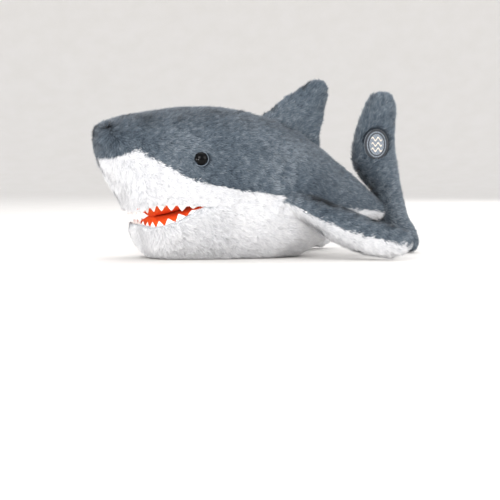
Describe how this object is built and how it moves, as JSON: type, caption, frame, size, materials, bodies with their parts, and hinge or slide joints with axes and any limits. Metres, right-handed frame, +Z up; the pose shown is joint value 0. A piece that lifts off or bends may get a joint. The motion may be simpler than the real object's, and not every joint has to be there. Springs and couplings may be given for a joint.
{
  "type": "plush shark",
  "caption": "Plush shark lying on its belly: stuffed body, opening toothed mouth, domed eyes, bendable dorsal, pectoral and tail fins, embroidered badge.",
  "frame": {"origin": "centre of the flat of the belly, on the resting surface", "axes": "+X from the nose to the tail, -Y to the toy's left side, +Z up"},
  "size_m": [0.3434, 0.2218, 0.1768],
  "materials": {
    "grey_plush": "short plush pile, matt",
    "white_plush": "short plush pile, matt",
    "orange_lining": "smooth brushed cloth, matt",
    "white_felt": "felt, matt",
    "wadding": "loose polyester fibre",
    "black_eye": "moulded, high gloss",
    "washer_plastic": "moulded, satin",
    "pouch_cloth": "plain woven cotton",
    "pellet_plastic": "small moulded beads",
    "badge_twill": "twill, matt",
    "dark_thread": "rayon embroidery thread",
    "cream_thread": "rayon embroidery thread"
  },
  "bodies": {
    "body": {"back_cover_left": "grey_plush", "back_cover_right": "grey_plush", "snout_cover_left": "white_plush", "snout_cover_right": "white_plush", "belly_cover": "white_plush", "head_stuffing": "wadding", "body_stuffing": "wadding", "pellet_pouch": "pouch_cloth", "pellets": "pellet_plastic", "mouth_roof": "orange_lining", "upper_teeth": "white_felt", "left_eye": "black_eye", "right_eye": "black_eye", "left_eye_washer": "washer_plastic", "right_eye_washer": "washer_plastic"},
    "jaw": {"jaw_cover": "white_plush", "jaw_stuffing": "wadding", "mouth_floor": "orange_lining", "lower_teeth": "white_felt"},
    "dorsal_fin": {"dorsal_fin_left_cover": "grey_plush", "dorsal_fin_right_cover": "grey_plush", "dorsal_fin_stuffing": "wadding"},
    "left_fin": {"left_fin_top_cover": "grey_plush", "left_fin_under_cover": "white_plush", "left_fin_stuffing": "wadding"},
    "right_fin": {"right_fin_top_cover": "grey_plush", "right_fin_under_cover": "white_plush", "right_fin_stuffing": "wadding"},
    "tail_stem": {"stem_cover_left": "grey_plush", "stem_cover_right": "grey_plush", "stem_belly_cover": "white_plush", "stem_stuffing": "wadding"},
    "tail_fin": {"tail_fin_left_cover": "grey_plush", "tail_fin_right_cover": "grey_plush", "tail_fin_stuffing": "wadding", "badge_cloth": "badge_twill", "badge_rim": "dark_thread", "badge_waves": "cream_thread"}
  },
  "joints": [
    {"name": "jaw_open", "type": "hinge", "parent": "body", "child": "jaw", "pos_m": [-0.045, 0, 0.052], "axis": [0, -1, 0], "range_deg": [0, 10], "stiffness_Nm_per_rad": 1},
    {"name": "dorsal_fin_lean", "type": "hinge", "parent": "body", "child": "dorsal_fin", "pos_m": [0.03494, 0, 0.15369], "axis": [0.8923, 0, -0.4514], "range_deg": [-30, 30], "stiffness_Nm_per_rad": 0.3},
    {"name": "left_fin_flap", "type": "hinge", "parent": "body", "child": "left_fin", "pos_m": [0.03456, -0.08827, 0.05245], "axis": [-0.9143, -0.3247, 0.242], "range_deg": [-10, 35], "stiffness_Nm_per_rad": 0.5},
    {"name": "right_fin_flap", "type": "hinge", "parent": "body", "child": "right_fin", "pos_m": [0.03456, 0.08827, 0.05245], "axis": [0.9143, -0.3247, -0.242], "range_deg": [-10, 35], "stiffness_Nm_per_rad": 0.5},
    {"name": "tail_stem_sway", "type": "hinge", "parent": "body", "child": "tail_stem", "pos_m": [0.11, 0, 0], "axis": [0, 0, 1], "range_deg": [-15, 15], "stiffness_Nm_per_rad": 1.5},
    {"name": "tail_fin_wag", "type": "hinge", "parent": "tail_stem", "child": "tail_fin", "pos_m": [0.17, 0, 0.046], "axis": [0, 0, 1], "range_deg": [-25, 25], "stiffness_Nm_per_rad": 0.6}
  ]
}
